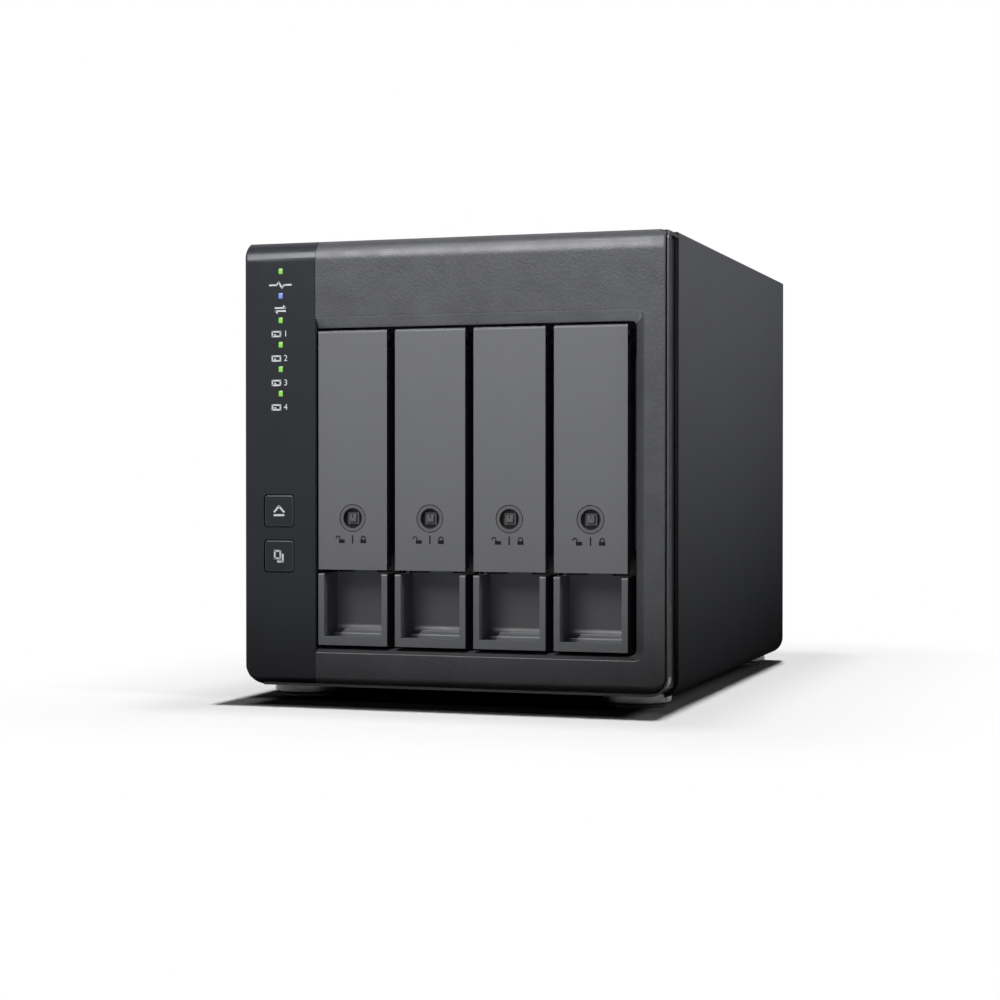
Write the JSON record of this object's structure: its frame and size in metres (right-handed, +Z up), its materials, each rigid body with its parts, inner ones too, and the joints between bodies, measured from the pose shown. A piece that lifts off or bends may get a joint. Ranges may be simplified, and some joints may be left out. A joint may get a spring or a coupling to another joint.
{
  "type": "four-bay disk enclosure",
  "caption": "Free-standing desktop disk enclosure with upright drive trays behind locking levers, an indicator strip with push buttons, a rear fan and a column of rear sockets.",
  "frame": {"origin": "on the floor under the middle of the bounding box", "axes": "+Z up, the front face looks towards -Y, +X to the right of someone facing the front"},
  "size_m": [0.16, 0.219, 0.168],
  "materials": {
    "cover_paint": "satin fine powder coat",
    "chassis_paint": "matt powder coat",
    "foot_rubber": "matt",
    "neck_plastic": "satin dark",
    "bezel_grain": "grained metallic coat",
    "strip_satin": "satin bluish black",
    "green_light": "lit clear plastic",
    "blue_light": "lit clear plastic",
    "board_green": "solder mask",
    "cage_steel": "galvanised sheet",
    "black_plastic": "satin",
    "coil_copper": "enamelled winding",
    "sink_aluminium": "anodised",
    "socket_steel": "plated",
    "switch_red": "satin",
    "slider_white": "satin",
    "screw_steel": "zinc plated",
    "tray_plastic": "satin",
    "lever_coat": "satin metallic coat",
    "lock_plastic": "satin",
    "drive_casting": "cast and pressed"
  },
  "bodies": {
    "enclosure": {"outer_cover": "cover_paint", "base_plate": "chassis_paint", "rubber_feet": "foot_rubber", "front_frame": "neck_plastic", "front_bezel": "bezel_grain", "indicator_panel": "strip_satin", "green_light_pipes": "green_light", "blue_light_pipe": "blue_light", "front_board": "board_green", "drive_cage": "cage_steel", "lower_guide": "neck_plastic", "upper_guide": "neck_plastic", "backplane_board": "board_green", "drive_connectors": "black_plastic", "main_board": "board_green", "heat_sink": "sink_aluminium", "rear_panel": "chassis_paint", "fan_grille": "chassis_paint", "fan_frame": "black_plastic", "fan_bracket": "black_plastic", "fan_stator": "coil_copper", "fan_screws": "screw_steel", "power_inlet": "black_plastic", "data_socket": "socket_steel", "mode_switch": "switch_red", "chassis_screws": "screw_steel", "cover_screws": "screw_steel"},
    "eject_button": {"eject_button": "strip_satin"},
    "copy_button": {"copy_button": "strip_satin"},
    "power_button": {"power_button": "black_plastic"},
    "fan_rotor": {"fan_rotor": "black_plastic"},
    "mode_slider_1": {"mode_slider_1": "slider_white"},
    "mode_slider_2": {"mode_slider_2": "slider_white"},
    "mode_slider_3": {"mode_slider_3": "slider_white"},
    "tray_1": {"tray_1": "tray_plastic", "drive_1": "drive_casting", "drive_screws_1": "screw_steel", "hinge_pin_1": "screw_steel"},
    "lever_1": {"lever_1": "lever_coat"},
    "lock_1": {"lock_core_1": "lock_plastic"},
    "tray_2": {"tray_2": "tray_plastic", "drive_2": "drive_casting", "drive_screws_2": "screw_steel", "hinge_pin_2": "screw_steel"},
    "lever_2": {"lever_2": "lever_coat"},
    "lock_2": {"lock_core_2": "lock_plastic"},
    "tray_3": {"tray_3": "tray_plastic", "drive_3": "drive_casting", "drive_screws_3": "screw_steel", "hinge_pin_3": "screw_steel"},
    "lever_3": {"lever_3": "lever_coat"},
    "lock_3": {"lock_core_3": "lock_plastic"},
    "tray_4": {"tray_4": "tray_plastic", "drive_4": "drive_casting", "drive_screws_4": "screw_steel", "hinge_pin_4": "screw_steel"},
    "lever_4": {"lever_4": "lever_coat"},
    "lock_4": {"lock_core_4": "lock_plastic"}
  },
  "joints": [
    {"name": "tray_1_slide", "type": "slide", "parent": "enclosure", "child": "tray_1", "axis": [0, -1, 0], "range_m": [0, 0.175]},
    {"name": "lever_1_hinge", "type": "hinge", "parent": "tray_1", "child": "lever_1", "pos_m": [-0.0378, -0.1057, 0.1324], "axis": [-1, 0, 0], "range_deg": [0, 75]},
    {"name": "lock_1_turn", "type": "hinge", "parent": "lever_1", "child": "lock_1", "pos_m": [-0.0378, -0.10815, 0.0668], "axis": [0, 1, 0], "range_deg": [0, 90]},
    {"name": "tray_2_slide", "type": "slide", "parent": "enclosure", "child": "tray_2", "axis": [0, -1, 0], "range_m": [0, 0.175]},
    {"name": "lever_2_hinge", "type": "hinge", "parent": "tray_2", "child": "lever_2", "pos_m": [-0.0079, -0.1057, 0.1324], "axis": [-1, 0, 0], "range_deg": [0, 75]},
    {"name": "lock_2_turn", "type": "hinge", "parent": "lever_2", "child": "lock_2", "pos_m": [-0.0079, -0.10815, 0.0668], "axis": [0, 1, 0], "range_deg": [0, 90]},
    {"name": "tray_3_slide", "type": "slide", "parent": "enclosure", "child": "tray_3", "axis": [0, -1, 0], "range_m": [0, 0.175]},
    {"name": "lever_3_hinge", "type": "hinge", "parent": "tray_3", "child": "lever_3", "pos_m": [0.022, -0.1057, 0.1324], "axis": [-1, 0, 0], "range_deg": [0, 75]},
    {"name": "lock_3_turn", "type": "hinge", "parent": "lever_3", "child": "lock_3", "pos_m": [0.022, -0.10815, 0.0668], "axis": [0, 1, 0], "range_deg": [0, 90]},
    {"name": "tray_4_slide", "type": "slide", "parent": "enclosure", "child": "tray_4", "axis": [0, -1, 0], "range_m": [0, 0.175]},
    {"name": "lever_4_hinge", "type": "hinge", "parent": "tray_4", "child": "lever_4", "pos_m": [0.0519, -0.1057, 0.1324], "axis": [-1, 0, 0], "range_deg": [0, 75]},
    {"name": "lock_4_turn", "type": "hinge", "parent": "lever_4", "child": "lock_4", "pos_m": [0.0519, -0.10815, 0.0668], "axis": [0, 1, 0], "range_deg": [0, 90]},
    {"name": "eject_press", "type": "slide", "parent": "enclosure", "child": "eject_button", "axis": [0, 1, 0], "range_m": [0, 0.0008], "stiffness_N_per_m": 1500},
    {"name": "copy_press", "type": "slide", "parent": "enclosure", "child": "copy_button", "axis": [0, 1, 0], "range_m": [0, 0.0008], "stiffness_N_per_m": 1500},
    {"name": "power_press", "type": "slide", "parent": "enclosure", "child": "power_button", "axis": [0, -1, 0], "range_m": [0, 0.0008], "stiffness_N_per_m": 1500},
    {"name": "mode_1_slide", "type": "slide", "parent": "enclosure", "child": "mode_slider_1", "axis": [1, 0, 0], "range_m": [0, 0.0022]},
    {"name": "mode_2_slide", "type": "slide", "parent": "enclosure", "child": "mode_slider_2", "axis": [1, 0, 0], "range_m": [0, 0.0022]},
    {"name": "mode_3_slide", "type": "slide", "parent": "enclosure", "child": "mode_slider_3", "axis": [1, 0, 0], "range_m": [0, 0.0022]},
    {"name": "fan_spin", "type": "hinge", "parent": "enclosure", "child": "fan_rotor", "pos_m": [0.011, 0.0905, 0.08665], "axis": [0, 1, 0], "continuous": true}
  ]
}
